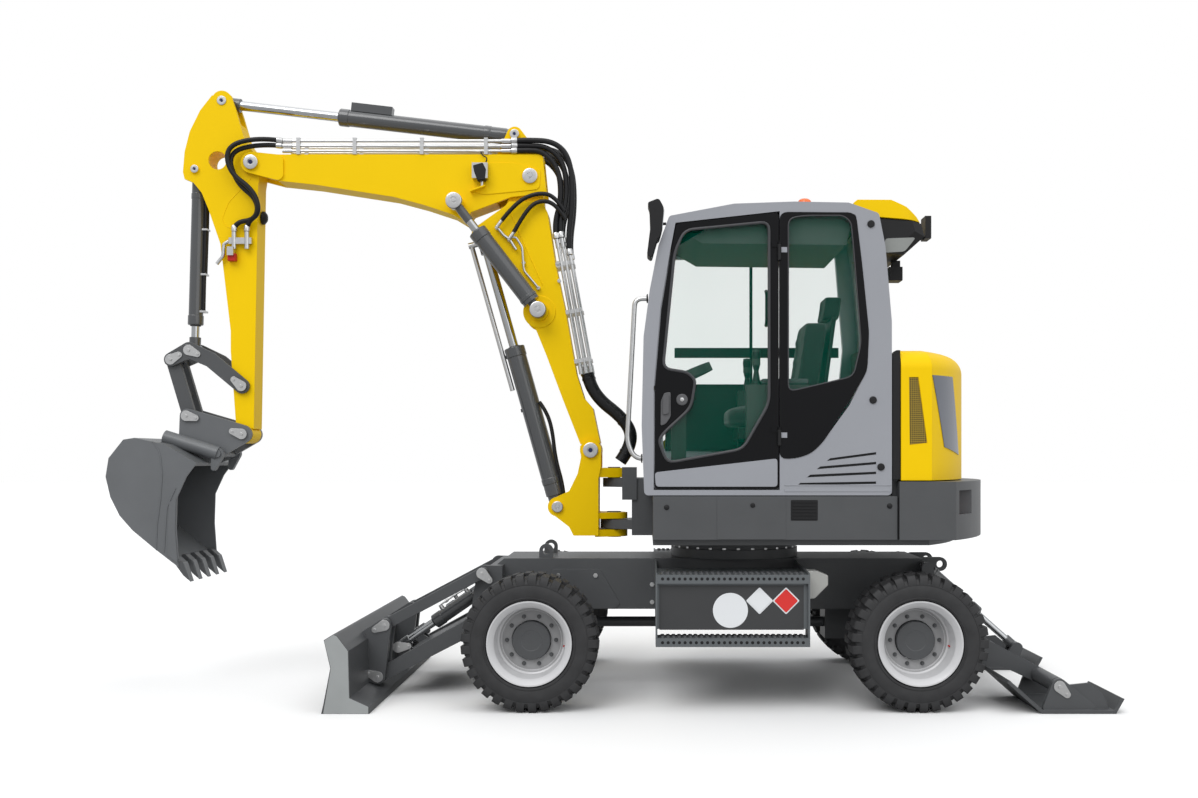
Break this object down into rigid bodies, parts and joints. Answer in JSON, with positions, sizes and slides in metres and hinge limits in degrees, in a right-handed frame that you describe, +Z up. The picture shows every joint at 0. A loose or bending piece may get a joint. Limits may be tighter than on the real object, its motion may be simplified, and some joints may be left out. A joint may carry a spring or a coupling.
{
  "type": "wheeled excavator",
  "caption": "Wheeled excavator with a two-piece boom on a swing post, a dozer blade in front and stabilisers behind; cab door and hood open.",
  "frame": {"origin": "on the ground plane, at the middle of the machine's length and width as it stands in the picture", "axes": "+Z up; the machine faces -X; its left side, with the cab, is -Y"},
  "size_m": [6.072, 2, 3.811],
  "materials": {
    "yellow_paint": "semi-gloss machine yellow",
    "chassis_grey": "satin dark grey",
    "counterweight_iron": "painted dark grey casting",
    "engine_iron": "plain casting",
    "cab_silver": "satin silver grey",
    "black_plastic": "textured black",
    "glass": "lightly tinted",
    "seat_fabric": "woven dark grey",
    "rim_silver": "silver paint",
    "tyre_rubber": "black rubber",
    "cylinder_paint": "satin dark grey",
    "chrome": "polished rod",
    "hose_rubber": "matt black hose",
    "zinc": "dull zinc plate"
  },
  "bodies": {
    "chassis": {"chassis_frame": "chassis_grey", "front_axle": "chassis_grey", "rear_axle": "chassis_grey", "step_boxes": "chassis_grey", "slew_ring": "chassis_grey"},
    "knuckle_left": {"front_knuckle_left": "chassis_grey"},
    "knuckle_right": {"front_knuckle_right": "chassis_grey"},
    "blade_arms": {"blade_arms": "chassis_grey"},
    "blade": {"blade_board": "chassis_grey"},
    "blade_links": {"blade_links": "chassis_grey"},
    "blade_cylinder_barrels": {"blade_cylinder_barrels": "cylinder_paint"},
    "blade_cylinder_rods": {"blade_cylinder_rods": "chrome"},
    "stabiliser_legs": {"stabiliser_legs": "chassis_grey"},
    "stabiliser_feet": {"stabiliser_feet": "chassis_grey"},
    "stabiliser_cylinder_barrels": {"stabiliser_cylinder_barrels": "cylinder_paint"},
    "stabiliser_cylinder_rods": {"stabiliser_cylinder_rods": "chrome"},
    "house": {"house_frame": "chassis_grey", "engine_block": "engine_iron", "skirts": "chassis_grey", "counterweight": "counterweight_iron", "right_cover": "yellow_paint", "cab_shell": "cab_silver", "cab_glass": "glass", "cab_seat": "seat_fabric", "cab_console": "black_plastic", "cab_roof_unit": "black_plastic", "cab_roof_cover": "yellow_paint", "cab_trim": "black_plastic"},
    "cab_door": {"cab_door": "cab_silver", "door_glass": "glass"},
    "engine_hood": {"engine_hood": "yellow_paint"},
    "swing": {"swing_bracket": "yellow_paint"},
    "lower_boom": {"lower_boom": "yellow_paint", "lower_boom_fittings": "zinc", "boom_hoses": "hose_rubber", "house_hoses": "hose_rubber"},
    "upper_boom": {"upper_boom": "yellow_paint", "upper_boom_fittings": "zinc", "arm_hoses": "hose_rubber"},
    "arm": {"arm": "yellow_paint", "arm_coupler": "zinc"},
    "rocker": {"rocker": "chassis_grey"},
    "link": {"link": "chassis_grey"},
    "bucket": {"bucket": "chassis_grey"},
    "lift_cylinder_barrel": {"lift_cylinder_barrel": "cylinder_paint"},
    "lift_cylinder_rod": {"lift_cylinder_rod": "chrome"},
    "adjust_cylinder_barrels": {"adjust_cylinder_barrels": "cylinder_paint"},
    "adjust_cylinder_rods": {"adjust_cylinder_rods": "chrome"},
    "arm_cylinder_barrel": {"arm_cylinder_barrel": "cylinder_paint"},
    "arm_cylinder_rod": {"arm_cylinder_rod": "chrome"},
    "bucket_cylinder_barrel": {"bucket_cylinder_barrel": "cylinder_paint"},
    "bucket_cylinder_rod": {"bucket_cylinder_rod": "chrome"},
    "wheel_front_left": {"rim_front_left": "rim_silver", "tyre_front_left": "tyre_rubber"},
    "wheel_front_right": {"rim_front_right": "rim_silver", "tyre_front_right": "tyre_rubber"},
    "wheel_rear_left": {"rim_rear_left": "rim_silver", "tyre_rear_left": "tyre_rubber"},
    "wheel_rear_right": {"rim_rear_right": "rim_silver", "tyre_rear_right": "tyre_rubber"}
  },
  "joints": [
    {"name": "slew", "type": "hinge", "parent": "chassis", "child": "house", "pos_m": [0.886, 0, 0.95], "axis": [0, 0, 1], "continuous": true},
    {"name": "boom_swing", "type": "hinge", "parent": "house", "child": "swing", "pos_m": [0.109, 0, 1.1], "axis": [0, 0, 1], "range_deg": [-50, 50]},
    {"name": "boom_lower", "type": "hinge", "parent": "swing", "child": "lower_boom", "pos_m": [-0.037, 0, 1.504], "axis": [0, -1, 0], "range_deg": [-6, 50], "deforming": ["house_hoses"]},
    {"name": "boom_adjust", "type": "hinge", "parent": "lower_boom", "child": "upper_boom", "pos_m": [-0.426, 0, 3.257], "axis": [0, 1, 0], "range_deg": [-5, 40], "deforming": ["boom_hoses"]},
    {"name": "arm_out", "type": "hinge", "parent": "upper_boom", "child": "arm", "pos_m": [-2.206, 0, 3.342], "axis": [0, 1, 0], "range_deg": [-28, 75], "deforming": ["arm_hoses"]},
    {"name": "bucket_curl", "type": "hinge", "parent": "arm", "child": "bucket", "pos_m": [-2.263, 0, 1.607], "axis": [0, -1, 0], "range_deg": [-20, 105]},
    {"name": "rocker_turn", "type": "hinge", "parent": "arm", "child": "rocker", "pos_m": [-2.269, 0, 1.914], "axis": [0, 1, 0], "continuous": true},
    {"name": "link_turn", "type": "hinge", "parent": "bucket", "child": "link", "pos_m": [-2.616, 0, 1.723], "axis": [0, 1, 0], "continuous": true},
    {"name": "lift_cylinder_tilt", "type": "hinge", "parent": "swing", "child": "lift_cylinder_barrel", "pos_m": [-0.248, 0, 1.143], "axis": [0, 1, 0], "continuous": true},
    {"name": "lift_cylinder_stroke", "type": "slide", "parent": "lift_cylinder_barrel", "child": "lift_cylinder_rod", "axis": [-0.2719, 0, 0.9623], "range_m": [-0.3233, 0.0414]},
    {"name": "adjust_cylinder_tilt", "type": "hinge", "parent": "lower_boom", "child": "adjust_cylinder_barrels", "pos_m": [-0.366, 0, 2.389], "axis": [0, 1, 0], "continuous": true},
    {"name": "adjust_cylinder_stroke", "type": "slide", "parent": "adjust_cylinder_barrels", "child": "adjust_cylinder_rods", "axis": [-0.6107, 0, 0.7919], "range_m": [-0.0409, 0.306]},
    {"name": "arm_cylinder_tilt", "type": "hinge", "parent": "upper_boom", "child": "arm_cylinder_barrel", "pos_m": [-0.527, 0, 3.53], "axis": [0, 1, 0], "continuous": true},
    {"name": "arm_cylinder_stroke", "type": "slide", "parent": "arm_cylinder_barrel", "child": "arm_cylinder_rod", "axis": [-0.9934, 0, 0.1147], "range_m": [-0.5201, 0.196]},
    {"name": "bucket_cylinder_tilt", "type": "hinge", "parent": "arm", "child": "bucket_cylinder_barrel", "pos_m": [-2.576, 0, 3.306], "axis": [0, 1, 0], "continuous": true},
    {"name": "bucket_cylinder_stroke", "type": "slide", "parent": "bucket_cylinder_barrel", "child": "bucket_cylinder_rod", "axis": [-0.0275, 0, -0.9996], "range_m": [-0.1032, 0.529]},
    {"name": "steer_left", "type": "hinge", "parent": "chassis", "child": "knuckle_left", "pos_m": [-0.35, -0.612, 0.395], "axis": [0, 0, 1], "range_deg": [-28, 28]},
    {"name": "steer_right", "type": "hinge", "parent": "chassis", "child": "knuckle_right", "pos_m": [-0.35, 0.612, 0.395], "axis": [0, 0, 1], "range_deg": [-28.5, 28.5]},
    {"name": "wheel_front_left_roll", "type": "hinge", "parent": "knuckle_left", "child": "wheel_front_left", "pos_m": [-0.35, -0.85, 0.395], "axis": [0, 1, 0], "continuous": true},
    {"name": "wheel_front_right_roll", "type": "hinge", "parent": "knuckle_right", "child": "wheel_front_right", "pos_m": [-0.35, 0.85, 0.395], "axis": [0, 1, 0], "continuous": true},
    {"name": "wheel_rear_left_roll", "type": "hinge", "parent": "chassis", "child": "wheel_rear_left", "pos_m": [1.88, -0.85, 0.395], "axis": [0, 1, 0], "continuous": true},
    {"name": "wheel_rear_right_roll", "type": "hinge", "parent": "chassis", "child": "wheel_rear_right", "pos_m": [1.88, 0.85, 0.395], "axis": [0, 1, 0], "continuous": true},
    {"name": "blade_lift", "type": "hinge", "parent": "chassis", "child": "blade_arms", "pos_m": [-0.725, 0, 0.437], "axis": [0, 1, 0], "range_deg": [-5, 28]},
    {"name": "blade_level", "type": "hinge", "parent": "blade_arms", "child": "blade", "pos_m": [-1.314, 0, 0.125], "axis": [0, 1, 0], "continuous": true},
    {"name": "blade_link_turn", "type": "hinge", "parent": "chassis", "child": "blade_links", "pos_m": [-0.685, 0, 0.75], "axis": [0, 1, 0], "continuous": true},
    {"name": "blade_cylinder_tilt", "type": "hinge", "parent": "chassis", "child": "blade_cylinder_barrels", "pos_m": [-0.721, 0, 0.624], "axis": [0, 1, 0], "continuous": true},
    {"name": "blade_cylinder_stroke", "type": "slide", "parent": "blade_cylinder_barrels", "child": "blade_cylinder_rods", "axis": [-0.8236, 0, -0.5672], "range_m": [-0.0846, 0.0176]},
    {"name": "stabiliser_lift", "type": "hinge", "parent": "chassis", "child": "stabiliser_legs", "pos_m": [2.066, 0, 0.45], "axis": [0, -1, 0], "range_deg": [0, 50]},
    {"name": "stabiliser_foot_turn", "type": "hinge", "parent": "stabiliser_legs", "child": "stabiliser_feet", "pos_m": [2.674, 0, 0.151], "axis": [0, -1, 0], "continuous": true},
    {"name": "stabiliser_cylinder_tilt", "type": "hinge", "parent": "chassis", "child": "stabiliser_cylinder_barrels", "pos_m": [2.04, 0, 0.78], "axis": [0, 1, 0], "continuous": true},
    {"name": "stabiliser_cylinder_stroke", "type": "slide", "parent": "stabiliser_cylinder_barrels", "child": "stabiliser_cylinder_rods", "axis": [0.7467, 0, -0.6652], "range_m": [-0.2456, 0.003]},
    {"name": "cab_door_open", "type": "hinge", "parent": "house", "child": "cab_door", "pos_m": [1.078, -0.96, 2.1], "axis": [0, 0, 1], "range_deg": [0, 100]},
    {"name": "engine_hood_open", "type": "hinge", "parent": "house", "child": "engine_hood", "pos_m": [1.768, 0.965, 1.6], "axis": [0, 0, 1], "range_deg": [0, 80]}
  ],
  "couplings": [
    {"joint": "rocker_turn", "follows": "bucket_curl", "ratio": -0.747},
    {"joint": "link_turn", "follows": "bucket_curl", "ratio": 0.789},
    {"joint": "lift_cylinder_tilt", "follows": "boom_lower", "ratio": -0.897},
    {"joint": "lift_cylinder_stroke", "follows": "boom_lower", "m_per_rad": -0.367},
    {"joint": "adjust_cylinder_tilt", "follows": "boom_adjust", "ratio": 0.241},
    {"joint": "adjust_cylinder_stroke", "follows": "boom_adjust", "m_per_rad": 0.434},
    {"joint": "arm_cylinder_tilt", "follows": "arm_out", "ratio": 0.025},
    {"joint": "arm_cylinder_stroke", "follows": "arm_out", "m_per_rad": -0.395},
    {"joint": "bucket_cylinder_tilt", "follows": "bucket_curl", "ratio": 0.016},
    {"joint": "bucket_cylinder_stroke", "follows": "bucket_curl", "m_per_rad": 0.287},
    {"joint": "steer_right", "follows": "steer_left", "ratio": 1},
    {"joint": "blade_level", "follows": "blade_lift", "ratio": -1},
    {"joint": "blade_link_turn", "follows": "blade_lift", "ratio": 1},
    {"joint": "blade_cylinder_tilt", "follows": "blade_lift", "ratio": 0.86},
    {"joint": "blade_cylinder_stroke", "follows": "blade_lift", "m_per_rad": -0.167},
    {"joint": "stabiliser_foot_turn", "follows": "stabiliser_lift", "ratio": -0.1},
    {"joint": "stabiliser_cylinder_tilt", "follows": "stabiliser_lift", "ratio": -0.742},
    {"joint": "stabiliser_cylinder_stroke", "follows": "stabiliser_lift", "m_per_rad": -0.278}
  ]
}
